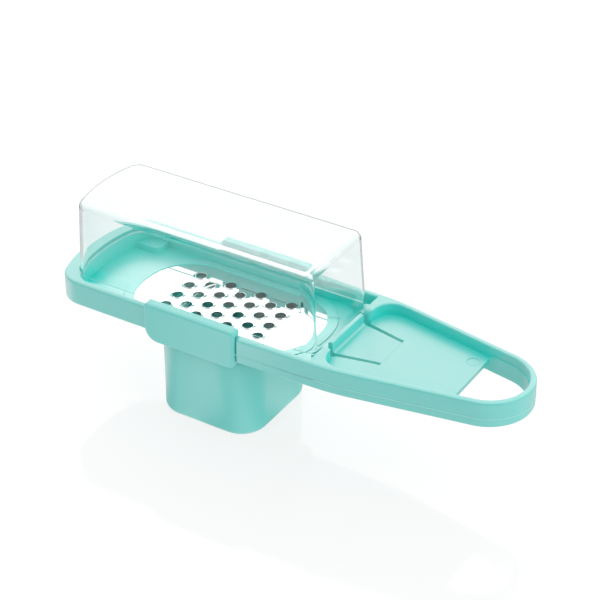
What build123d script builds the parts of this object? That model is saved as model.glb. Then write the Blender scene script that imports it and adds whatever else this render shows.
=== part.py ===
from build123d import *
from math import acos, atan2, cos, hypot, sin, sqrt
import os

os.makedirs("parts", exist_ok=True)

# Whole tool: X runs towards the handle, the cup stands on Z = 0
length = 241.2
plate_x = -38.2
left_x = -length / 2
tip_x = length / 2

# How near a corner has to lie to the place it is picked by
nearness = 0.01

# Heights from the cup upwards
cup_height = 48.5
rail_clearance = 0.3
frame_bottom = cup_height + rail_clearance
frame_height = 13.1
frame_top = frame_bottom + frame_height
tray_web = 2.8
tray_floor = frame_bottom + tray_web
handle_rise = 7.6
handle_floor = frame_bottom + handle_rise
handle_web = 2.4

# Frame outline
rail_half = 33.8
end_bow = 75.0
end_corner = 14.0
shoulder_offset = 26.4
shoulder_proud = 1.2
shoulder_round = 1.1
waist_offset = 76.2
waist_inset = 0.4
waist_blend = 120.0
tip_radius = 22.0
outer_top_round = 1.6
outer_bottom_round = 1.0
inner_top_round = 0.9

# Tray and bulkhead
tray_side_wall = 3.1
tray_end_wall = 9.4
tray_right_offset = 63.5
tray_corner_left = 10.0
tray_corner_right = 7.0
bulkhead = 4.2
stub_round = 3.0
stub_top_round = 2.5
pad_length = 17.0
pad_width = 9.0
pad_height = 3.4
pad_round = 4.0

# Handle
handle_wall = 3.1
handle_corner = 9.0
wall_inset = 0.35
wall_inset_height = 1.1
hang_length = 30.4
hang_corner = 1.5
mark_gap = 4.8
mark_y = 13.0
mark_radius = 3.2
mark_depth = 0.15

# Latch tongue
tongue_length = 23.2
hinge_radius = 3.0
hinge_clearance = 0.1
tongue_wall = 2.1
tongue_half_free = 14.4
tongue_half_root = 9.3
tongue_top_drop = 0.2
tongue_fillet = 1.6
tongue_top_round = 0.6
slit = 2.5
bulkhead_gap = 17.4
bead_radius = 0.6
bead_half = 7.0
bead_drop = 1.2

# Plate, ring and the opening below them
plate_half_length = 48.0
plate_end_radius = 42.0
plate_corner_inset = 4.0
plate_thickness = 0.5
plate_drop = 0.4
ring_half_length = 53.4
ring_side_gap = 0.8
ring_side_width = 3.9
ring_end_radius = 47.0
ring_corner_inset = 3.9
ring_above = 0.4
ring_below = 1.4
ring_ledge = 2.6
ring_clearance = 0.15
ring_round = 0.25
plate_clearance = 0.1
chute_half_length = 29.5
chute_side_ledge = 4.0
chute_corner = 10.0

# Teeth
tooth_pitch = 10.0
tooth_reach = 4.9
tooth_bend = 2.3
tooth_angle = 60.0
tooth_edge = 0.12
straight_down = 270.0
row_count = 7
long_row_count = 4

# Hood
hood_end_overlap = 2.0
hood_end_gap = 1.5
hood_side_gap = 4.8
hood_bow = 75.0
hood_corner_left = 8.0
hood_corner_right = 4.0
hood_draft_left = 1.6
hood_draft_right = 2.8
hood_draft_side = 1.0
hood_sink = 1.9
hood_bottom = frame_top - hood_sink
hood_height = 39.8
hood_top = hood_bottom + hood_height
hood_wall = 1.4
hood_round = 3.8
seat_clearance = 0.05
seat_side_gap = 0.5
shelf_inner = 17.4
shelf_inset = 0.9
shelf_reach = 2.6

# Container
ear_offset = 24.5
ear_length = 50.4
ear_wall = 1.8
ear_drop = 4.4
ear_bottom = frame_bottom - ear_drop
ear_rise = 3.1
ear_top = frame_top + ear_rise
ear_lip = 2.8
ear_lower_left = 7.0
ear_lower_right = 4.0
ear_upper_corner = 2.0
ear_edge_round = 1.7
cup_offset = 1.9
cup_wall = 2.0
cup_floor = 2.2
cup_base_x = 27.6
cup_draft_y = 4.0
cup_base_corner = 13.0
cup_top_x = 27.8
cup_inset_y = 1.8
cup_top_corner = 20.0
cup_base_round = 3.0
mouth_offset = 0.9
mouth_half_x = 31.6
mouth_inset_y = 3.2
mouth_corner = 14.0
mouth_wall = 1.8
mouth_depth = 4.0
funnel_depth = 4.0
funnel_angle = 35.0

# Places along X that follow from the sizes above
shoulder_x = plate_x + shoulder_offset
waist_x = plate_x + waist_offset
tray_left = left_x + tray_end_wall
tray_right = plate_x + tray_right_offset
handle_left = tray_right + bulkhead
hang_x = tip_x - hang_length
mark_x = hang_x - mark_gap
hinge_x = tray_right + tongue_length
hood_left = tray_left - hood_end_overlap
hood_right = tray_right - hood_end_gap
ear_left = plate_x - ear_offset
cup_x = plate_x + cup_offset
mouth_x = plate_x + mouth_offset

# Half widths that follow from the rails
shoulder_half = rail_half + shoulder_proud
waist_half = rail_half - waist_inset
tray_half = rail_half - tray_side_wall
ring_half_width = tray_half - ring_side_gap
ring_corner = ring_half_width - ring_corner_inset
plate_half_width = ring_half_width - ring_side_width
plate_corner = plate_half_width - plate_corner_inset
chute_half_width = plate_half_width - chute_side_ledge
hood_half = tray_half - hood_side_gap
shelf_outer = hood_half - shelf_inset
channel_half = rail_half + rail_clearance
ear_half = channel_half + ear_wall
ear_lip_half = rail_half - ear_lip
cup_top_y = rail_half - cup_inset_y
cup_base_y = cup_top_y - cup_draft_y
mouth_half_y = rail_half - mouth_inset_y


def bowed(x_left, x_right, half, bow, corner_left, corner_right):
    """Rounded outline with a straight right end and a left end that bows outwards."""
    x_corner = x_left + bow - sqrt(bow**2 - half**2)
    with BuildSketch() as shape:
        with BuildLine():
            ThreePointArc((x_corner, half), (x_left, 0), (x_corner, -half))
            Polyline((x_corner, -half), (x_right, -half), (x_right, half), (x_corner, half))
        make_face()
        ends = shape.vertices().group_by(Axis.X)
        fillet(ends[0], corner_left)
        fillet(ends[-1], corner_right)
    return shape.sketch


def barrel(half_length, half_width, end_radius, corner):
    """Outline with straight sides and both ends bowed outwards."""
    x_corner = half_length - end_radius + sqrt(end_radius**2 - half_width**2)
    with BuildSketch() as shape:
        with BuildLine():
            ThreePointArc((-x_corner, half_width), (-half_length, 0), (-x_corner, -half_width))
            Line((-x_corner, -half_width), (x_corner, -half_width))
            ThreePointArc((x_corner, -half_width), (half_length, 0), (x_corner, half_width))
            Line((x_corner, half_width), (-x_corner, half_width))
        make_face()
        fillet(shape.vertices(), corner)
    return shape.sketch


# Frame outline: the side line runs from the waist as a tangent to the tip circle
tip_centre = tip_x - tip_radius
reach = hypot(waist_x - tip_centre, waist_half)
turn = atan2(waist_half, waist_x - tip_centre) - acos(tip_radius / reach)
tangent_x = tip_centre + tip_radius * cos(turn)
tangent_y = tip_radius * sin(turn)
end_x = left_x + end_bow - sqrt(end_bow**2 - rail_half**2)
with BuildSketch() as outline:
    with BuildLine():
        ThreePointArc((end_x, rail_half), (left_x, 0), (end_x, -rail_half))
        Polyline(
            (end_x, -rail_half),
            (shoulder_x, -rail_half),
            (shoulder_x, -shoulder_half),
            (waist_x, -waist_half),
            (tangent_x, -tangent_y),
        )
        ThreePointArc((tangent_x, -tangent_y), (tip_x, 0), (tangent_x, tangent_y))
        Polyline(
            (tangent_x, tangent_y),
            (waist_x, waist_half),
            (shoulder_x, shoulder_half),
            (shoulder_x, rail_half),
            (end_x, rail_half),
        )
    make_face()
    fillet(outline.vertices().filter_by(lambda v: abs(v.X - end_x) < nearness), end_corner)
    fillet(outline.vertices().filter_by(lambda v: abs(v.X - waist_x) < nearness), waist_blend)
    fillet(outline.vertices().filter_by(lambda v: abs(abs(v.Y) - shoulder_half) < nearness), shoulder_round)

# Handle recess: the outline right of the bulkhead less the wall, its corners rounded by
# an offset too far inwards and back again
with BuildSketch() as recess:
    add(outline.sketch)
    with Locations((handle_left - handle_wall, 0)):
        Rectangle(length, length, align=(Align.MIN, Align.CENTER), mode=Mode.INTERSECT)
    offset(amount=-handle_wall - handle_corner, mode=Mode.REPLACE)
    offset(amount=handle_corner, mode=Mode.REPLACE)
with BuildSketch() as lower_recess:
    add(recess.sketch)
    offset(amount=-wall_inset, mode=Mode.REPLACE)
with BuildSketch() as hang_opening:
    add(lower_recess.sketch)
    with Locations((hang_x, 0)):
        Rectangle(length, length, align=(Align.MIN, Align.CENTER), mode=Mode.INTERSECT)
    offset(amount=-hang_corner, mode=Mode.REPLACE)
    offset(amount=hang_corner, mode=Mode.REPLACE)

tray = bowed(tray_left, tray_right, tray_half, end_bow, tray_corner_left, tray_corner_right)
seat = bowed(
    hood_left - seat_side_gap,
    hood_right,
    hood_half + seat_side_gap,
    hood_bow,
    hood_corner_left + seat_side_gap,
    hood_corner_right,
)
ring_outline = barrel(ring_half_length, ring_half_width, ring_end_radius, ring_corner)
plate_outline = barrel(plate_half_length, plate_half_width, plate_end_radius, plate_corner)
web_bottom = handle_floor - handle_web
ring_bottom = tray_floor - ring_below
ring_top = tray_floor + ring_above
plate_top = ring_top - plate_drop
tongue_end = hinge_x + sqrt(hinge_radius**2 - handle_web**2)
tongue_top = frame_top - tongue_top_drop
hood_seat = hood_bottom - seat_clearance
stub_y = bulkhead_gap + stub_round
stub_top_y = bulkhead_gap + stub_top_round
stub_top_z = frame_top - stub_top_round
shelf_y = (shelf_inner + shelf_outer) / 2
shelf_width = shelf_outer - shelf_inner
lip_bottom = frame_top + rail_clearance

with BuildPart() as frame:
    with BuildSketch(Plane.XY.offset(frame_bottom)):
        add(outline.sketch)
    extrude(amount=frame_height)
    fillet(frame.faces().sort_by(Axis.Z)[-1].edges(), outer_top_round)
    fillet(frame.faces().sort_by(Axis.Z)[0].edges(), outer_bottom_round)
    # Tray and the two levels of the handle's recess
    with BuildSketch(Plane.XY.offset(tray_floor)):
        add(tray)
    extrude(amount=frame_height, mode=Mode.SUBTRACT)
    with BuildSketch(Plane.XY.offset(handle_floor + wall_inset_height)):
        add(recess.sketch)
    extrude(amount=frame_height, mode=Mode.SUBTRACT)
    with BuildSketch(Plane.XY.offset(handle_floor)):
        add(lower_recess.sketch)
    extrude(amount=frame_height, mode=Mode.SUBTRACT)
    # Gap in the bulkhead for the tongue, with round corners on the handle's side
    with BuildSketch(Plane.XY.offset(tray_floor)):
        with Locations((tray_right, 0)):
            Rectangle(bulkhead + wall_inset, bulkhead_gap * 2, align=(Align.MIN, Align.CENTER))
    extrude(amount=frame_height, mode=Mode.SUBTRACT)
    with BuildSketch(Plane.XY.offset(handle_floor)):
        with Locations((handle_left + wall_inset, 0)):
            Rectangle(stub_round + wall_inset, stub_y * 2, align=(Align.MAX, Align.CENTER))
        with Locations((handle_left - stub_round, stub_y), (handle_left - stub_round, -stub_y)):
            Circle(stub_round, mode=Mode.SUBTRACT)
    extrude(amount=frame_height, mode=Mode.SUBTRACT)
    rim = frame.faces().filter_by(Axis.Z).sort_by(Axis.Z)[-1]
    fillet([edge for wire in rim.inner_wires() for edge in wire.edges()], inner_top_round)
    # Tops of the bulkhead's two stubs, rounded down towards the tongue
    with BuildSketch(Plane.YZ.offset(tray_right)):
        with Locations((0, frame_top)):
            Rectangle(stub_top_y * 2, stub_top_round, align=(Align.CENTER, Align.MAX))
        with Locations((stub_top_y, stub_top_z), (-stub_top_y, stub_top_z)):
            Circle(stub_top_round, mode=Mode.SUBTRACT)
    extrude(amount=bulkhead, mode=Mode.SUBTRACT)
    # Underside of the handle and the opening to hang it by
    with BuildSketch(Plane.XY.offset(web_bottom)):
        add(lower_recess.sketch)
    extrude(amount=-frame_height, mode=Mode.SUBTRACT)
    with BuildSketch(Plane.XY.offset(frame_bottom)):
        add(hang_opening.sketch)
    extrude(amount=frame_height, mode=Mode.SUBTRACT)
    with BuildSketch(Plane.XY.offset(handle_floor)):
        with Locations((mark_x, mark_y)):
            Circle(mark_radius)
    extrude(amount=-mark_depth, mode=Mode.SUBTRACT)
    # Ledge for the hood's left wall, shelves for its right wall, and the corner pads
    with BuildSketch(Plane.XY.offset(hood_seat)):
        add(seat)
    extrude(amount=frame_height, mode=Mode.SUBTRACT)
    with BuildSketch(Plane.XY.offset(tray_floor)):
        with Locations((tray_right, shelf_y), (tray_right, -shelf_y)):
            Rectangle(shelf_reach * 2, shelf_width)
    extrude(amount=hood_seat - tray_floor)
    with BuildSketch(Plane.XY.offset(tray_floor)) as pads:
        with Locations((tray_left, tray_half), (tray_left, -tray_half)):
            Rectangle(pad_length * 2, pad_width * 2)
        fillet(pads.vertices().group_by(Axis.X)[-1], pad_round)
        add(tray, mode=Mode.INTERSECT)
    extrude(amount=pad_height)
    # Seat for the plate ring and the chute below the teeth
    with BuildSketch(Plane.XY.offset(ring_bottom)):
        with Locations((plate_x, 0)):
            add(ring_outline)
        offset(amount=ring_clearance, mode=Mode.REPLACE)
    extrude(amount=ring_below, mode=Mode.SUBTRACT)
    with BuildSketch(Plane.XY.offset(frame_bottom)):
        with Locations((plate_x, 0)):
            RectangleRounded(chute_half_length * 2, chute_half_width * 2, chute_corner)
    extrude(amount=ring_bottom - frame_bottom, mode=Mode.SUBTRACT)
    # Slot for the tongue in the handle's floor
    with BuildSketch(Plane.XY.offset(web_bottom)):
        Polygon(
            (tray_right, -tongue_half_free - slit),
            (hinge_x, -tongue_half_root - slit),
            (hinge_x, tongue_half_root + slit),
            (tray_right, tongue_half_free + slit),
            align=None,
        )
    extrude(amount=handle_web, mode=Mode.SUBTRACT)
    with BuildSketch(Plane.XZ):
        with Locations((hinge_x, web_bottom)):
            Circle(hinge_radius + hinge_clearance)
            Rectangle(length, handle_web, align=(Align.MIN, Align.MIN), mode=Mode.INTERSECT)
    extrude(amount=tongue_half_root + slit, both=True, mode=Mode.SUBTRACT)
frame.part.label = "frame"
export_step(frame.part, "parts/frame.step")

with BuildPart() as latch_tongue:
    with BuildSketch(Plane.XZ) as profile:
        with BuildLine():
            Polyline(
                (tongue_end, handle_floor),
                (tray_right + tongue_wall, handle_floor),
                (tray_right + tongue_wall, tongue_top),
                (tray_right, tongue_top),
                (tray_right, web_bottom),
                (hinge_x + hinge_radius, web_bottom),
            )
            RadiusArc((tongue_end, handle_floor), (hinge_x + hinge_radius, web_bottom), hinge_radius)
        make_face()
        inner = profile.vertices().filter_by(lambda v: abs(v.X - tray_right - tongue_wall) < nearness)
        fillet(inner.sort_by(Axis.Y)[0], tongue_fillet)
    extrude(amount=tongue_half_free, both=True)
    with BuildSketch(Plane.XY.offset(web_bottom)):
        Polygon(
            (tray_right, -tongue_half_free),
            (hinge_x + hinge_radius, -tongue_half_root),
            (hinge_x + hinge_radius, tongue_half_root),
            (tray_right, tongue_half_free),
            align=None,
        )
    extrude(amount=frame_height, mode=Mode.INTERSECT)
    fillet(latch_tongue.faces().sort_by(Axis.Z)[-1].edges(), tongue_top_round)
    with BuildSketch(Plane.XZ):
        with Locations((tray_right, tongue_top - bead_drop)):
            Circle(bead_radius)
    extrude(amount=bead_half, both=True)
latch_tongue.part.label = "latch_tongue"
export_step(latch_tongue.part, "parts/latch_tongue.step")

with BuildPart() as plate_ring:
    with BuildSketch(Plane.XY.offset(ring_bottom)):
        with Locations((plate_x, 0)):
            add(ring_outline)
    extrude(amount=ring_top - ring_bottom)
    fillet(plate_ring.faces().sort_by(Axis.Z)[-1].edges(), ring_round)
    with BuildSketch(Plane.XY.offset(plate_top - plate_thickness)):
        with Locations((plate_x, 0)):
            add(plate_outline)
        offset(amount=plate_clearance, mode=Mode.REPLACE)
    extrude(amount=ring_top - plate_top + plate_thickness, mode=Mode.SUBTRACT)
    with BuildSketch(Plane.XY.offset(ring_bottom)):
        with Locations((plate_x, 0)):
            add(plate_outline)
        offset(amount=-ring_ledge, mode=Mode.REPLACE)
    extrude(amount=ring_top - ring_bottom, mode=Mode.SUBTRACT)
plate_ring.part.label = "plate_ring"
export_step(plate_ring.part, "parts/plate_ring.step")

# The teeth stand on a hexagonal grid, every second row one tooth shorter
row_step = tooth_pitch / 2
tooth_step = tooth_pitch * sqrt(3)
spots = []
for row in range(row_count):
    across = (row - (row_count - 1) / 2) * row_step
    in_row = long_row_count - row % 2
    for place in range(in_row):
        spots.append((plate_x + (place - (in_row - 1) / 2) * tooth_step, across))

with BuildPart() as grater_plate:
    with BuildSketch(Plane.XY.offset(plate_top)):
        with Locations((plate_x, 0)):
            add(plate_outline)
        with Locations(*spots):
            Circle(tooth_reach, mode=Mode.SUBTRACT)
    extrude(amount=-plate_thickness)
    # Each tooth is a turned lip that leaves the sheet in a round bend and thins to an edge
    with BuildSketch(Plane.XZ):
        with BuildLine():
            over = CenterArc((tooth_reach, plate_top + tooth_bend), tooth_bend, straight_down, -tooth_angle)
            foot = (tooth_reach, plate_top - plate_thickness)
            edge = over @ 1 - Vector(tooth_edge, 0)
            TangentArc(foot, edge, tangent=(-1, 0))
            Line(over @ 0, foot)
            Line(over @ 1, edge)
        make_face()
    tooth = revolve(axis=Axis.Z, mode=Mode.PRIVATE)
    with Locations(*spots):
        add(tooth)
grater_plate.part.label = "grater_plate"
export_step(grater_plate.part, "parts/grater_plate.step")

# Hollow of the hood, one wall inside its outline on every side but the bottom
hood_foot = bowed(hood_left, hood_right, hood_half, hood_bow, hood_corner_left, hood_corner_right)
hood_head = bowed(
    hood_left + hood_draft_left,
    hood_right - hood_draft_right,
    hood_half - hood_draft_side,
    hood_bow,
    hood_corner_left,
    hood_corner_right,
)
with BuildPart() as hollow:
    with BuildSketch(Plane.XY.offset(hood_bottom)):
        add(hood_foot)
        offset(amount=-hood_wall, mode=Mode.REPLACE)
    with BuildSketch(Plane.XY.offset(hood_top - hood_wall)):
        add(hood_head)
        offset(amount=-hood_wall, mode=Mode.REPLACE)
    loft()
    fillet(hollow.faces().sort_by(Axis.Z)[-1].edges(), hood_round - hood_wall)

with BuildPart() as hood:
    with BuildSketch(Plane.XY.offset(hood_bottom)):
        add(hood_foot)
    with BuildSketch(Plane.XY.offset(hood_top)):
        add(hood_head)
    loft()
    fillet(hood.faces().sort_by(Axis.Z)[-1].edges(), hood_round)
    add(hollow.part, mode=Mode.SUBTRACT)
hood.part.label = "hood"
export_step(hood.part, "parts/hood.step")

with BuildPart() as container:
    with BuildSketch():
        with Locations((cup_x, 0)):
            RectangleRounded(cup_base_x * 2, cup_base_y * 2, cup_base_corner)
    with BuildSketch(Plane.XY.offset(cup_height)):
        with Locations((cup_x, 0)):
            RectangleRounded(cup_top_x * 2, cup_top_y * 2, cup_top_corner)
    loft()
    fillet(container.faces().sort_by(Axis.Z)[0].edges(), cup_base_round)
    # Mouth below the chute and the ears that hold the rails
    with BuildSketch(Plane.XY.offset(cup_height)):
        with Locations((mouth_x, 0)):
            RectangleRounded(mouth_half_x * 2, mouth_half_y * 2, mouth_corner)
    extrude(amount=-mouth_depth)
    with BuildSketch(Plane.XZ) as ear:
        with Locations((ear_left, ear_bottom)):
            Rectangle(ear_length, ear_top - ear_bottom, align=(Align.MIN, Align.MIN))
        fillet(ear.vertices().group_by(Axis.Y)[0].sort_by(Axis.X)[0], ear_lower_left)
        fillet(ear.vertices().group_by(Axis.Y)[0].sort_by(Axis.X)[-1], ear_lower_right)
        fillet(ear.vertices().group_by(Axis.Y)[-1], ear_upper_corner)
    extrude(amount=ear_half, both=True)
    fillet(
        container.faces().sort_by(Axis.Y)[0].edges() + container.faces().sort_by(Axis.Y)[-1].edges(),
        ear_edge_round,
    )
    # Channel for the rails and the gap between the lips
    with BuildSketch(Plane.YZ):
        with Locations((0, cup_height)):
            Rectangle(channel_half * 2, lip_bottom - cup_height, align=(Align.CENTER, Align.MIN))
            Rectangle(ear_lip_half * 2, length, align=(Align.CENTER, Align.MIN))
    extrude(amount=length, both=True, mode=Mode.SUBTRACT)
    # Inside of the cup, with a funnel below the chute
    with BuildSketch(Plane.XY.offset(cup_floor)):
        with Locations((cup_x, 0)):
            RectangleRounded(
                (cup_base_x - cup_wall) * 2, (cup_base_y - cup_wall) * 2, cup_base_corner - cup_wall
            )
    with BuildSketch(Plane.XY.offset(cup_height)):
        with Locations((cup_x, 0)):
            RectangleRounded(
                (cup_top_x - cup_wall) * 2, (cup_top_y - cup_wall) * 2, cup_top_corner - cup_wall
            )
    loft(mode=Mode.SUBTRACT)
    with BuildSketch(Plane.XY.offset(cup_height)):
        with Locations((mouth_x, 0)):
            RectangleRounded(
                (mouth_half_x - mouth_wall) * 2, (mouth_half_y - mouth_wall) * 2, mouth_corner - mouth_wall
            )
    extrude(amount=-funnel_depth, taper=funnel_angle, mode=Mode.SUBTRACT)
container.part.label = "container"
export_step(container.part, "parts/container.step")
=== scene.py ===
import math

import bmesh
import bpy
from mathutils import Matrix, Vector


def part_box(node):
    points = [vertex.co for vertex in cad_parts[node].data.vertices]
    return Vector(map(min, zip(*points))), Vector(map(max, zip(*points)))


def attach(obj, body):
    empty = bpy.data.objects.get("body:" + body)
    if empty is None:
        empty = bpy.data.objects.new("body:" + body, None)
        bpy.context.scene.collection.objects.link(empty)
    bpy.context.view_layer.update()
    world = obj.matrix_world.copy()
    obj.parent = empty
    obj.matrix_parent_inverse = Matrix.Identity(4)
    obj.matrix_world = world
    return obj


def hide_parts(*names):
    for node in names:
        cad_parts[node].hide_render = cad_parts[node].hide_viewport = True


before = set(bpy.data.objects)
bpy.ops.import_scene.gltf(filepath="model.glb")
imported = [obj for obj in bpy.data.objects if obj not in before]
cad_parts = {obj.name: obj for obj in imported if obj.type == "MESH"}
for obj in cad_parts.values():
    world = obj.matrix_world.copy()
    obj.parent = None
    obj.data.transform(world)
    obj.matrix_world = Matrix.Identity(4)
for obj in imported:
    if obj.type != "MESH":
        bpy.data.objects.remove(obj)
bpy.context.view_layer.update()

scene = bpy.context.scene

# Camera of the photograph, fitted to the tool
CAMERA_AZIMUTH = math.radians(31.68)
CAMERA_ELEVATION = math.radians(32.55)
CAMERA_PLACE = Vector((0.3868, -0.6246, 0.5369))
CAMERA_LENS = 112.88
CAMERA_SENSOR = 36.0

# Hood, in metres: its outline's radii, draft, wall and rounds
HOOD_BOW = 0.075
HOOD_LEFT_CORNER = 0.008
HOOD_RIGHT_CORNER = 0.005
HOOD_DRAFT_LEFT = 0.0016
HOOD_DRAFT_RIGHT = 0.0028
HOOD_DRAFT_SIDE = 0.001
HOOD_WALL = 0.0014
HOOD_TOP_ROUND = 0.0038
HOOD_FOOT_ROUND = 0.0004
HOOD_BOW_STEPS = 20
HOOD_CORNER_STEPS = 14
HOOD_TOP_STEPS = 12
HOOD_FOOT_STEPS = 3

# Fine line round the handle where the halves of the mould met
PARTING_HEIGHT = 0.0532
PARTING_START = -0.0108
PARTING_WIDTH = 0.0002
PARTING_PROUD = 0.0002

# Ring that an ejector pin left on the handle's floor
MARK_PLACE = (0.0854, 0.013, 0.0564)
MARK_RADIUS = 0.0032
MARK_BEAD = 0.00016
MARK_STEPS = 48
MARK_BEAD_STEPS = 8

# Meshes: angles from which edges are sharp, and how near points count as one or as level
SMOOTH_BELOW = math.radians(35)
SHARP_ABOVE = math.radians(60)
SAME_POINT = 1e-6
SAME_LEVEL = 1e-5
CUT_MARGIN = 1e-7

# Colours, among them painted shade, a painted highlight and a painted see-through tint, and how rough and how
# shiny below their gloss coat the plastics are
MINT = (0.085, 0.53, 0.48)
# MINT_PAINTED_SHADE and CUP_PAINTED_SHADE are painted shade: the deeper tones put into the frame's recesses
# and inside the cup
MINT_PAINTED_SHADE = (0.012, 0.60, 0.52)
CUP_PAINTED_SHADE = (0.004, 0.13, 0.095)
# The parting line's pale tint is a painted highlight
PARTING_PAINTED_HIGHLIGHT = (0.3, 0.8, 0.75)
# The hood foot's grey-teal is painted: the mint tray as seen through the clear foot
FOOT_PAINTED_TINT = (0.36, 0.68, 0.65)
STEEL = (0.9, 0.9, 0.91)
CLEAR = (0.99, 0.995, 0.994)
CLEAR_SHADOW = (0.93, 0.95, 0.945)
CLEAR_DEPTH = (0.80, 0.92, 0.91)
SATIN = 0.34
GROUND = 0.5
FRAME_SHEEN = 0.5
CUP_SHEEN = 0.05

# Painted shade in hollows: how open a place is where it starts and is deepest, the coat gloss left there, and
# how far it reaches
PAINTED_SHADE_NONE = 0.95
PAINTED_SHADE_FULL = 0.42
PAINTED_SHADE_GLOSS = 0.05
FRAME_SHADE_REACH = 0.014
CUP_SHADE_REACH = 0.05

# Table: its size and colour, its glow as seen and in reflections, and the fans of light in reflections
TABLE_RADIUS = 3.0
TABLE_STEPS = 96
TABLE_GREY = (0.25, 0.25, 0.25)
FLOOR_GLOW = 0.72
FLOOR_IN_GLOSS = 0.05
FAN_CENTRE = (-0.0363, 0.0, 0.0)
FAN_COUNT = 6
FAN_TURN = math.radians(254.7)
FAN_GLOW = 0.5
FAN_FADE_FROM = -0.01
FAN_FADE_TO = 0.03

# Sky: for diffuse light, as seen, and in reflections from dim to bright, leaning to the back
WHITE = (1.0, 1.0, 1.0)
SKY_EVEN = 0.55
SKY_SEEN = 1.1
SKY_GLOSS_LOW = 0.1
SKY_GLOSS_HIGH = 1.5
SKY_LEAN = 0.55
SKY_FROM = 0.2
SKY_TO = 0.7

# Points that the soft lights face: the tool's middle, and the table under it
TOOL_MIDDLE = (0.0, 0.0, 0.05)
TOOL_FOOT = (0.0, 0.0, 0.0)

# Most bounces of light in the clear hood
BOUNCES = 64

# Tone curve: how much it lifts the dark end, and the points on it
TONE_GAIN = 1.8
TONE_STEPS = 8


def new_material(name):
    """A material with an empty node tree and its output node."""
    material = bpy.data.materials.new(name)
    material.use_nodes = True
    material.node_tree.nodes.clear()
    output = material.node_tree.nodes.new("ShaderNodeOutputMaterial")
    return material, material.node_tree, output


def moulded_skin_group():
    """Faint unevenness of a moulded surface: a tint that drifts, gloss that varies and a fine skin."""
    tree = bpy.data.node_groups.new("moulded_skin", "ShaderNodeTree")
    add = tree.interface.new_socket
    colour_in = add(name="Colour", in_out="INPUT", socket_type="NodeSocketColor")
    colour_in.default_value = (0.8, 0.8, 0.8, 1.0)
    for name, value in (
        ("Tint Drift", 0.04),
        ("Drift Scale", 25.0),
        ("Gloss Roughness", 0.3),
        ("Gloss Spread", 0.05),
        ("Skin Scale", 900.0),
    ):
        add(name=name, in_out="INPUT", socket_type="NodeSocketFloat").default_value = value
    add(name="Colour", in_out="OUTPUT", socket_type="NodeSocketColor")
    add(name="Roughness", in_out="OUTPUT", socket_type="NodeSocketFloat")
    add(name="Height", in_out="OUTPUT", socket_type="NodeSocketFloat")
    nodes, links = tree.nodes, tree.links
    given = nodes.new("NodeGroupInput")
    made = nodes.new("NodeGroupOutput")
    place = nodes.new("ShaderNodeTexCoord")

    drift = nodes.new("ShaderNodeTexNoise")
    drift.inputs["Detail"].default_value = 2.0
    links.new(place.outputs["Object"], drift.inputs["Vector"])
    links.new(given.outputs["Drift Scale"], drift.inputs["Scale"])
    centred = nodes.new("ShaderNodeMath")
    centred.operation = "SUBTRACT"
    centred.inputs[1].default_value = 0.5
    links.new(drift.outputs["Fac"], centred.inputs[0])
    swing = nodes.new("ShaderNodeMath")
    swing.operation = "MULTIPLY_ADD"
    swing.inputs[2].default_value = 1.0
    links.new(centred.outputs["Value"], swing.inputs[0])
    links.new(given.outputs["Tint Drift"], swing.inputs[1])
    tinted = nodes.new("ShaderNodeVectorMath")
    tinted.operation = "SCALE"
    links.new(given.outputs["Colour"], tinted.inputs[0])
    links.new(swing.outputs["Value"], tinted.inputs["Scale"])
    links.new(tinted.outputs["Vector"], made.inputs["Colour"])

    skin = nodes.new("ShaderNodeTexNoise")
    skin.inputs["Detail"].default_value = 3.0
    links.new(place.outputs["Object"], skin.inputs["Vector"])
    links.new(given.outputs["Skin Scale"], skin.inputs["Scale"])
    links.new(skin.outputs["Fac"], made.inputs["Height"])
    gloss = nodes.new("ShaderNodeMath")
    gloss.operation = "MULTIPLY_ADD"
    links.new(centred.outputs["Value"], gloss.inputs[0])
    links.new(given.outputs["Gloss Spread"], gloss.inputs[1])
    links.new(given.outputs["Gloss Roughness"], gloss.inputs[2])
    links.new(gloss.outputs["Value"], made.inputs["Roughness"])
    return tree


def skin_node(tree, group, colour, drift, drift_scale, roughness, spread, skin_scale):
    """The moulded skin with one material's own values."""
    node = tree.nodes.new("ShaderNodeGroup")
    node.node_tree = group
    node.inputs["Colour"].default_value = (*colour, 1.0)
    node.inputs["Tint Drift"].default_value = drift
    node.inputs["Drift Scale"].default_value = drift_scale
    node.inputs["Gloss Roughness"].default_value = roughness
    node.inputs["Gloss Spread"].default_value = spread
    node.inputs["Skin Scale"].default_value = skin_scale
    return node


def bump_from(tree, height, strength, distance):
    """A bump node for a height."""
    bump = tree.nodes.new("ShaderNodeBump")
    bump.inputs["Strength"].default_value = strength
    bump.inputs["Distance"].default_value = distance
    tree.links.new(height, bump.inputs["Height"])
    return bump


def painted_shade_amount(tree, reach):
    """How much painted shade a place gets from the piece's own hollows: 0 in the open, 1 well inside."""
    hollow = tree.nodes.new("ShaderNodeAmbientOcclusion")
    hollow.only_local = True
    hollow.samples = 8
    hollow.inputs["Distance"].default_value = reach
    depth = tree.nodes.new("ShaderNodeMapRange")
    depth.inputs["From Min"].default_value = PAINTED_SHADE_FULL
    depth.inputs["From Max"].default_value = PAINTED_SHADE_NONE
    depth.inputs["To Min"].default_value = 1.0
    depth.inputs["To Max"].default_value = 0.0
    tree.links.new(hollow.outputs["AO"], depth.inputs["Value"])
    return depth.outputs["Result"]


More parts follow.
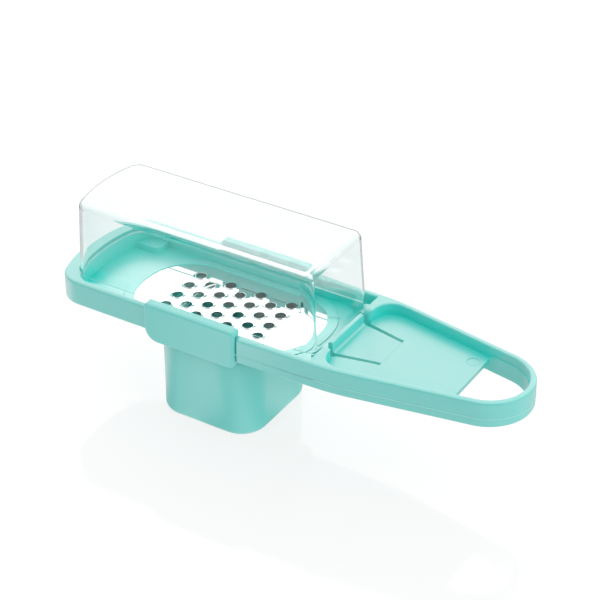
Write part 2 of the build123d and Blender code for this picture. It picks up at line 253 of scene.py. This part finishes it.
def mint_plastic(name, group, colour, painted_shade_colour, reach, roughness, specular):
    """Satin mint plastic, slightly translucent, with shade painted into its hollows as a deeper tone, and
    less coat gloss there.
    """
    material, tree, output = new_material(name)
    skin = skin_node(
        tree, group, colour, drift=0.05, drift_scale=30.0, roughness=roughness, spread=0.08, skin_scale=1500.0
    )
    # Painted shade: in the hollows the colour turns to the painted shade colour and the coat thins
    depth = painted_shade_amount(tree, reach)
    tone = tree.nodes.new("ShaderNodeMix")
    tone.data_type = "RGBA"
    tone.inputs["A"].default_value = (*colour, 1.0)
    tone.inputs["B"].default_value = (*painted_shade_colour, 1.0)
    tree.links.new(depth, tone.inputs["Factor"])
    tree.links.new(tone.outputs["Result"], skin.inputs["Colour"])
    gloss = tree.nodes.new("ShaderNodeMath")
    gloss.operation = "MULTIPLY_ADD"
    gloss.inputs[1].default_value = PAINTED_SHADE_GLOSS - 1.0
    gloss.inputs[2].default_value = 1.0
    tree.links.new(depth, gloss.inputs[0])
    shader = tree.nodes.new("ShaderNodeBsdfPrincipled")
    shader.inputs["IOR"].default_value = 1.5
    shader.inputs["Specular IOR Level"].default_value = specular
    shader.inputs["Coat Roughness"].default_value = 0.3
    shader.inputs["Coat IOR"].default_value = 1.9
    shader.inputs["Subsurface Weight"].default_value = 0.35
    shader.inputs["Subsurface Radius"].default_value = (0.2, 1.0, 0.9)
    shader.inputs["Subsurface Scale"].default_value = 0.002
    bump = bump_from(tree, skin.outputs["Height"], strength=0.04, distance=0.00002)
    tree.links.new(skin.outputs["Colour"], shader.inputs["Base Color"])
    tree.links.new(skin.outputs["Roughness"], shader.inputs["Roughness"])
    tree.links.new(gloss.outputs["Value"], shader.inputs["Coat Weight"])
    tree.links.new(bump.outputs["Normal"], shader.inputs["Normal"])
    tree.links.new(shader.outputs["BSDF"], output.inputs["Surface"])
    return material


def polished_steel(group):
    """Bright polished sheet steel."""
    material, tree, output = new_material("polished_sheet_steel")
    skin = skin_node(
        tree, group, STEEL, drift=0.02, drift_scale=60.0, roughness=0.06, spread=0.05, skin_scale=400.0
    )
    shader = tree.nodes.new("ShaderNodeBsdfPrincipled")
    shader.inputs["Metallic"].default_value = 1.0
    tree.links.new(skin.outputs["Colour"], shader.inputs["Base Color"])
    tree.links.new(skin.outputs["Roughness"], shader.inputs["Roughness"])
    tree.links.new(shader.outputs["BSDF"], output.inputs["Surface"])
    return material


def clear_plastic(name, colour, roughness):
    """Clear moulded plastic that lets light through without a hard shadow."""
    material, tree, output = new_material(name)
    shader = tree.nodes.new("ShaderNodeBsdfPrincipled")
    shader.inputs["Base Color"].default_value = (*colour, 1.0)
    shader.inputs["Roughness"].default_value = roughness
    shader.inputs["IOR"].default_value = 1.49
    shader.inputs["Transmission Weight"].default_value = 1.0
    shader.inputs["Specular IOR Level"].default_value = 0.5
    passing = tree.nodes.new("ShaderNodeBsdfTransparent")
    passing.inputs["Color"].default_value = (*CLEAR_SHADOW, 1.0)
    path = tree.nodes.new("ShaderNodeLightPath")
    choice = tree.nodes.new("ShaderNodeMixShader")
    tree.links.new(path.outputs["Is Shadow Ray"], choice.inputs["Fac"])
    tree.links.new(shader.outputs["BSDF"], choice.inputs[1])
    tree.links.new(passing.outputs["BSDF"], choice.inputs[2])
    tree.links.new(choice.outputs["Shader"], output.inputs["Surface"])
    depth = tree.nodes.new("ShaderNodeVolumeAbsorption")
    depth.inputs["Color"].default_value = (*CLEAR_DEPTH, 1.0)
    depth.inputs["Density"].default_value = 280.0
    tree.links.new(depth.outputs["Volume"], output.inputs["Volume"])
    return material


def dress(node, material):
    """Gives a CAD node its finish."""
    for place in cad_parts[node].material_slots:
        place.material = material


def new_piece(name, shape, material, body):
    """A smooth object from a bmesh that moves with a body."""
    mesh = bpy.data.meshes.new(name)
    bmesh.ops.recalc_face_normals(shape, faces=shape.faces[:])
    for face in shape.faces:
        face.smooth = True
    shape.to_mesh(mesh)
    shape.free()
    mesh.set_sharp_from_angle(angle=SMOOTH_BELOW)
    mesh.materials.append(material)
    piece = bpy.data.objects.new(name, mesh)
    scene.collection.objects.link(piece)
    weighted = piece.modifiers.new("flat_faces", "WEIGHTED_NORMAL")
    weighted.keep_sharp = True
    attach(piece, body)
    return piece


def turned_on(shape, vert, centre, angle, steps):
    """Carries an outline on from a point along an arc, clockwise, and returns its last point."""
    turned = bmesh.ops.spin(
        shape, geom=[vert], cent=centre, axis=(0, 0, 1), angle=-angle, steps=steps, use_duplicate=False
    )
    return next(part for part in turned["geom_last"] if isinstance(part, bmesh.types.BMVert))


def led_on(shape, vert, place):
    """Carries an outline on from a point in a straight line, and returns its last point."""
    made = bmesh.ops.extrude_vert_indiv(shape, verts=[vert])["verts"]
    bmesh.ops.translate(shape, verts=made, vec=Vector(place) - vert.co)
    return made[0]


def edges_at(shape, level):
    """The sharp edges that lie level at a height."""
    flat = [edge for edge in shape.edges if all(abs(vert.co.z - level) < SAME_LEVEL for vert in edge.verts)]
    return [edge for edge in flat if edge.calc_face_angle(0.0) > SHARP_ABOVE]


def hood_shell(material, foot_painted_material):
    """The clear hood: a drafted shell with a bowed left end, open below."""
    low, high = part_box("hood")
    left, right, half = low[0], high[0], high[1]
    foot, height = low[2], high[2] - low[2]
    reach = HOOD_BOW - HOOD_LEFT_CORNER
    inner = half - HOOD_LEFT_CORNER
    bow_angle = math.asin(inner / reach)
    corner_x = left + HOOD_BOW - reach * math.cos(bow_angle)
    right_x = right - HOOD_RIGHT_CORNER
    right_y = half - HOOD_RIGHT_CORNER
    quarter = math.pi / 2
    shape = bmesh.new()
    start = bmesh.ops.create_vert(shape, co=(corner_x, -half, foot))["vert"][0]
    end = turned_on(shape, start, (corner_x, -inner, foot), quarter - bow_angle, HOOD_CORNER_STEPS)
    end = turned_on(shape, end, (left + HOOD_BOW, 0, foot), bow_angle * 2, HOOD_BOW_STEPS)
    end = turned_on(shape, end, (corner_x, inner, foot), quarter - bow_angle, HOOD_CORNER_STEPS)
    end = led_on(shape, end, (right_x, half, foot))
    end = turned_on(shape, end, (right_x, right_y, foot), quarter, HOOD_CORNER_STEPS)
    end = led_on(shape, end, (right, -right_y, foot))
    end = turned_on(shape, end, (right_x, -right_y, foot), quarter, HOOD_CORNER_STEPS)
    bmesh.ops.contextual_create(shape, geom=[end, start])
    # Walls, drawn in towards the top, and the top face
    walls = bmesh.ops.extrude_edge_only(shape, edges=shape.edges[:])["geom"]
    head = [part for part in walls if isinstance(part, bmesh.types.BMVert)]
    head_edges = [part for part in walls if isinstance(part, bmesh.types.BMEdge)]
    length = right - left
    narrowing = 1 - (HOOD_DRAFT_LEFT + HOOD_DRAFT_RIGHT) / length
    pivot = left + HOOD_DRAFT_LEFT / (1 - narrowing)
    bmesh.ops.translate(shape, verts=head, vec=(0, 0, height))
    bmesh.ops.translate(shape, verts=head, vec=(-pivot, 0, 0))
    bmesh.ops.scale(shape, verts=head, vec=(narrowing, 1 - HOOD_DRAFT_SIDE / half, 1))
    bmesh.ops.translate(shape, verts=head, vec=(pivot, 0, 0))
    bmesh.ops.contextual_create(shape, geom=head_edges)
    bmesh.ops.bevel(
        shape, geom=head_edges, offset=HOOD_TOP_ROUND, offset_type="OFFSET", affect="EDGES",
        segments=HOOD_TOP_STEPS, profile=0.5, material=-1,
    )
    bmesh.ops.recalc_face_normals(shape, faces=shape.faces[:])
    bmesh.ops.solidify(shape, geom=shape.faces[:], thickness=HOOD_WALL)
    bmesh.ops.recalc_face_normals(shape, faces=shape.faces[:])
    bmesh.ops.bevel(
        shape, geom=edges_at(shape, foot), offset=HOOD_FOOT_ROUND, offset_type="OFFSET", affect="EDGES",
        segments=HOOD_FOOT_STEPS, profile=0.5, material=-1,
    )
    hood = new_piece("hood_shell", shape, material, "hood")
    hood.data.materials.append(foot_painted_material)
    # The foot's faces take the painted see-through tint
    for face in hood.data.polygons:
        if face.center.z < foot + HOOD_FOOT_ROUND:
            face.material_index = 1
    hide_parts("hood")


def parting_line(material):
    """The fine raised line round the handle, taken from a cut through the frame."""
    shape = bmesh.new()
    shape.from_mesh(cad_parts["frame"].data)
    bmesh.ops.remove_doubles(shape, verts=shape.verts[:], dist=SAME_POINT)
    everything = shape.verts[:] + shape.edges[:] + shape.faces[:]
    bmesh.ops.bisect_plane(
        shape, geom=everything, dist=CUT_MARGIN, plane_co=(0, 0, PARTING_HEIGHT), plane_no=(0, 0, 1),
        clear_inner=True, clear_outer=True,
    )
    bmesh.ops.bisect_plane(
        shape, geom=shape.verts[:] + shape.edges[:], dist=CUT_MARGIN, plane_co=(PARTING_START, 0, 0),
        plane_no=(1, 0, 0), clear_inner=True,
    )
    line = {max(shape.verts, key=lambda v: v.co.x)}
    ends = list(line)
    while ends:
        vert = ends.pop()
        for edge in vert.link_edges:
            other = edge.other_vert(vert)
            if other not in line:
                line.add(other)
                ends.append(other)
    bmesh.ops.delete(shape, geom=[v for v in shape.verts if v not in line], context="VERTS")
    band = bmesh.ops.extrude_edge_only(shape, edges=shape.edges[:])["geom"]
    upper = [part for part in band if isinstance(part, bmesh.types.BMVert)]
    bmesh.ops.translate(shape, verts=upper, vec=(0, 0, PARTING_WIDTH))
    tip = max(shape.faces, key=lambda face: face.calc_center_median().x)
    tip.normal_update()
    if tip.normal.x < 0:
        bmesh.ops.reverse_faces(shape, faces=shape.faces[:])
    bmesh.ops.solidify(shape, geom=shape.faces[:], thickness=-PARTING_PROUD)
    new_piece("parting_line", shape, material, "frame")


def ejector_ring(material):
    """The round mark of an ejector pin."""
    shape = bmesh.new()
    circle = bmesh.ops.create_circle(shape, segments=MARK_BEAD_STEPS, radius=MARK_BEAD)["verts"]
    bmesh.ops.rotate(shape, verts=circle, cent=(0, 0, 0), matrix=Matrix.Rotation(math.pi / 2, 3, "X"))
    bmesh.ops.translate(shape, verts=circle, vec=(MARK_RADIUS, 0, 0))
    bmesh.ops.spin(
        shape, geom=shape.verts[:] + shape.edges[:], cent=(0, 0, 0), axis=(0, 0, 1),
        angle=math.tau, steps=MARK_STEPS, use_duplicate=False, use_merge=True,
    )
    bmesh.ops.translate(shape, verts=shape.verts[:], vec=MARK_PLACE)
    new_piece("ejector_ring", shape, material, "frame")


def dress_tool():
    """Gives every piece its finish and adds the pieces that only the scene has."""
    skin = moulded_skin_group()
    # Both mints paint shade into their hollows; inside the cup it is painted dark green
    frame_mint = mint_plastic("frame_mint", skin, MINT, MINT_PAINTED_SHADE, FRAME_SHADE_REACH, SATIN, FRAME_SHEEN)
    container_mint = mint_plastic("container_mint", skin, MINT, CUP_PAINTED_SHADE, CUP_SHADE_REACH, SATIN, CUP_SHEEN)
    for node in ("frame", "latch_tongue", "plate_ring"):
        dress(node, frame_mint)
    dress("container", container_mint)
    dress("grater_plate", polished_steel(skin))
    hood_clear = clear_plastic("clear_hood_plastic", CLEAR, roughness=0.02)
    dress("hood", hood_clear)
    # The hood's foot is painted grey-teal, standing for the mint tray seen through it, on a ground finish
    hood_foot = mint_plastic(
        "ground_hood_foot_painted_tint", skin, FOOT_PAINTED_TINT, FOOT_PAINTED_TINT, FRAME_SHADE_REACH, GROUND, FRAME_SHEEN
    )
    hood_shell(hood_clear, hood_foot)
    # The parting line is painted paler than the frame, a painted highlight
    parting_mint_painted_highlight = mint_plastic(
        "parting_mint_painted_highlight", skin, PARTING_PAINTED_HIGHLIGHT, PARTING_PAINTED_HIGHLIGHT, FRAME_SHADE_REACH, SATIN, FRAME_SHEEN
    )
    parting_line(parting_mint_painted_highlight)
    ejector_ring(frame_mint)


def table_fans(tree):
    """Glow of the table in reflections: soft fans of light round the cup that fade out below the handle.

    Reflections seen through the clear hood show a plain dark table instead.
    """
    place = tree.nodes.new("ShaderNodeTexCoord")
    centred = tree.nodes.new("ShaderNodeVectorMath")
    centred.operation = "SUBTRACT"
    centred.inputs[1].default_value = FAN_CENTRE
    tree.links.new(place.outputs["Object"], centred.inputs[0])
    turn = tree.nodes.new("ShaderNodeTexGradient")
    turn.gradient_type = "RADIAL"
    tree.links.new(centred.outputs["Vector"], turn.inputs["Vector"])
    angle = tree.nodes.new("ShaderNodeMath")
    angle.operation = "MULTIPLY_ADD"
    angle.inputs[1].default_value = FAN_COUNT * math.tau
    angle.inputs[2].default_value = -FAN_COUNT * (FAN_TURN + math.pi)
    tree.links.new(turn.outputs["Fac"], angle.inputs[0])
    wave = tree.nodes.new("ShaderNodeMath")
    wave.operation = "COSINE"
    tree.links.new(angle.outputs["Value"], wave.inputs[0])
    fan = tree.nodes.new("ShaderNodeMapRange")
    fan.inputs["From Min"].default_value = -1.0
    fan.inputs["To Max"].default_value = FAN_GLOW
    tree.links.new(wave.outputs["Value"], fan.inputs["Value"])
    along = tree.nodes.new("ShaderNodeSeparateXYZ")
    tree.links.new(place.outputs["Object"], along.inputs["Vector"])
    fade = tree.nodes.new("ShaderNodeMapRange")
    fade.inputs["From Min"].default_value = FAN_FADE_FROM
    fade.inputs["From Max"].default_value = FAN_FADE_TO
    fade.inputs["To Min"].default_value = 1.0
    fade.inputs["To Max"].default_value = 0.0
    tree.links.new(along.outputs["X"], fade.inputs["Value"])
    path = tree.nodes.new("ShaderNodeLightPath")
    direct = tree.nodes.new("ShaderNodeMath")
    direct.operation = "LESS_THAN"
    direct.inputs[1].default_value = 0.5
    tree.links.new(path.outputs["Transmission Depth"], direct.inputs[0])
    share = tree.nodes.new("ShaderNodeMath")
    share.operation = "MULTIPLY"
    tree.links.new(fade.outputs["Result"], share.inputs[0])
    tree.links.new(direct.outputs["Value"], share.inputs[1])
    level = tree.nodes.new("ShaderNodeMath")
    level.operation = "MULTIPLY_ADD"
    level.inputs[2].default_value = FLOOR_IN_GLOSS
    tree.links.new(fan.outputs["Result"], level.inputs[0])
    tree.links.new(share.outputs["Value"], level.inputs[1])
    return level.outputs["Value"]


def studio_floor():
    """A wide white table top that mirrors the tool faintly."""
    mesh = bpy.data.meshes.new("studio_floor")
    shape = bmesh.new()
    bmesh.ops.create_circle(shape, cap_ends=True, segments=TABLE_STEPS, radius=TABLE_RADIUS)
    shape.to_mesh(mesh)
    shape.free()
    floor = bpy.data.objects.new("studio_floor", mesh)
    scene.collection.objects.link(floor)
    material, tree, output = new_material("white_table")
    shader = tree.nodes.new("ShaderNodeBsdfPrincipled")
    shader.inputs["Base Color"].default_value = (*TABLE_GREY, 1.0)
    shader.inputs["Roughness"].default_value = 0.08
    shader.inputs["IOR"].default_value = 1.5
    shader.inputs["Emission Color"].default_value = (*WHITE, 1.0)
    path = tree.nodes.new("ShaderNodeLightPath")
    glow = tree.nodes.new("ShaderNodeMix")
    glow.data_type = "FLOAT"
    glow.inputs["A"].default_value = FLOOR_GLOW
    tree.links.new(table_fans(tree), glow.inputs["B"])
    mirrored = tree.nodes.new("ShaderNodeMath")
    mirrored.operation = "GREATER_THAN"
    mirrored.inputs[1].default_value = 0.5
    tree.links.new(path.outputs["Glossy Depth"], mirrored.inputs[0])
    tree.links.new(mirrored.outputs["Value"], glow.inputs["Factor"])
    tree.links.new(glow.outputs["Result"], shader.inputs["Emission Strength"])
    # From below the table top is clear, so that the tool's underside can be seen
    side = tree.nodes.new("ShaderNodeNewGeometry")
    clear = tree.nodes.new("ShaderNodeBsdfTransparent")
    choice = tree.nodes.new("ShaderNodeMixShader")
    tree.links.new(side.outputs["Backfacing"], choice.inputs["Fac"])
    tree.links.new(shader.outputs["BSDF"], choice.inputs[1])
    tree.links.new(clear.outputs["BSDF"], choice.inputs[2])
    tree.links.new(choice.outputs["Shader"], output.inputs["Surface"])
    mesh.materials.append(material)


def softbox(name, place, target, width, height, radiance):
    """A rectangular soft light of even brightness."""
    light = bpy.data.lights.new(name, "AREA")
    light.shape = "RECTANGLE"
    light.size = width
    light.size_y = height
    light.energy = radiance * math.pi * width * height
    box = bpy.data.objects.new(name, light)
    scene.collection.objects.link(box)
    box.location = place
    box.rotation_mode = "QUATERNION"
    box.rotation_quaternion = (Vector(target) - Vector(place)).to_track_quat("-Z", "Y")
    box.visible_camera = False
    box.visible_glossy = False


def studio_light():
    """Even white surroundings, a sky of its own for reflections, and four soft lights."""
    world = bpy.data.worlds.new("studio")
    world.use_nodes = True
    scene.world = world
    tree = world.node_tree
    tree.nodes.clear()
    output = tree.nodes.new("ShaderNodeOutputWorld")
    even = tree.nodes.new("ShaderNodeBackground")
    even.inputs["Strength"].default_value = SKY_EVEN
    backdrop = tree.nodes.new("ShaderNodeBackground")
    backdrop.inputs["Strength"].default_value = SKY_SEEN
    mirrored = tree.nodes.new("ShaderNodeBackground")
    for light in (even, backdrop, mirrored):
        light.inputs["Color"].default_value = (*WHITE, 1.0)
    # In reflections the sky is bright above and behind, and dim low in front
    place = tree.nodes.new("ShaderNodeTexCoord")
    height = tree.nodes.new("ShaderNodeVectorMath")
    height.operation = "DOT_PRODUCT"
    height.inputs[1].default_value = (
        -math.sin(CAMERA_AZIMUTH) * SKY_LEAN, math.cos(CAMERA_AZIMUTH) * SKY_LEAN, 1.0
    )
    rise = tree.nodes.new("ShaderNodeMapRange")
    rise.interpolation_type = "SMOOTHSTEP"
    rise.inputs["From Min"].default_value = SKY_FROM
    rise.inputs["From Max"].default_value = SKY_TO
    rise.inputs["To Min"].default_value = SKY_GLOSS_LOW
    rise.inputs["To Max"].default_value = SKY_GLOSS_HIGH
    tree.links.new(place.outputs["Generated"], height.inputs[0])
    tree.links.new(height.outputs["Value"], rise.inputs["Value"])
    tree.links.new(rise.outputs["Result"], mirrored.inputs["Strength"])
    path = tree.nodes.new("ShaderNodeLightPath")
    seen = tree.nodes.new("ShaderNodeMath")
    seen.operation = "MAXIMUM"
    tree.links.new(path.outputs["Is Camera Ray"], seen.inputs[0])
    tree.links.new(path.outputs["Is Transmission Ray"], seen.inputs[1])
    plain = tree.nodes.new("ShaderNodeMixShader")
    tree.links.new(seen.outputs["Value"], plain.inputs["Fac"])
    tree.links.new(even.outputs["Background"], plain.inputs[1])
    tree.links.new(backdrop.outputs["Background"], plain.inputs[2])
    reflected = tree.nodes.new("ShaderNodeMath")
    reflected.operation = "GREATER_THAN"
    reflected.inputs[1].default_value = 0.5
    tree.links.new(path.outputs["Glossy Depth"], reflected.inputs[0])
    choice = tree.nodes.new("ShaderNodeMixShader")
    tree.links.new(reflected.outputs["Value"], choice.inputs["Fac"])
    tree.links.new(plain.outputs["Shader"], choice.inputs[1])
    tree.links.new(mirrored.outputs["Background"], choice.inputs[2])
    tree.links.new(choice.outputs["Shader"], output.inputs["Surface"])
    softbox(
        "back_softbox", place=(-0.75, 1.15, 0.95), target=TOOL_MIDDLE, width=1.8, height=1.4, radiance=1.5
    )
    softbox(
        "top_softbox", place=(0.0, 0.1, 1.3), target=TOOL_FOOT, width=1.3, height=1.3, radiance=0.8
    )
    softbox(
        "front_softbox", place=(-0.6, -1.4, 0.6), target=TOOL_MIDDLE, width=1.4, height=1.0, radiance=0.4
    )
    softbox(
        "right_softbox", place=(1.4, -0.1, 0.5), target=TOOL_MIDDLE, width=1.6, height=1.2, radiance=2.0
    )


def photo_camera():
    """The camera at the photograph's place."""
    data = bpy.data.cameras.new("photo_camera")
    data.lens = CAMERA_LENS
    data.sensor_width = CAMERA_SENSOR
    camera = bpy.data.objects.new("photo_camera", data)
    scene.collection.objects.link(camera)
    back = Vector((
        math.sin(CAMERA_AZIMUTH) * math.cos(CAMERA_ELEVATION),
        -math.cos(CAMERA_AZIMUTH) * math.cos(CAMERA_ELEVATION),
        math.sin(CAMERA_ELEVATION),
    ))
    camera.location = CAMERA_PLACE
    camera.rotation_mode = "QUATERNION"
    camera.rotation_quaternion = (-back).to_track_quat("-Z", "Y")
    scene.camera = camera


def soften_highlights():
    """A tone curve with a soft shoulder, as a camera has."""
    settings = scene.view_settings
    settings.use_curve_mapping = True
    tone = settings.curve_mapping
    combined = tone.curves[3]
    for step in range(1, TONE_STEPS):
        share = (step / TONE_STEPS) ** 2
        light = share * TONE_GAIN
        combined.points.new(share, light * (1 + light / TONE_GAIN**2) / (1 + light))
    tone.update()


dress_tool()
studio_floor()
studio_light()
photo_camera()
scene.view_settings.view_transform = "Standard"
scene.view_settings.look = "None"
soften_highlights()
scene.cycles.max_bounces = BOUNCES
scene.cycles.transmission_bounces = BOUNCES
scene.cycles.transparent_max_bounces = BOUNCES
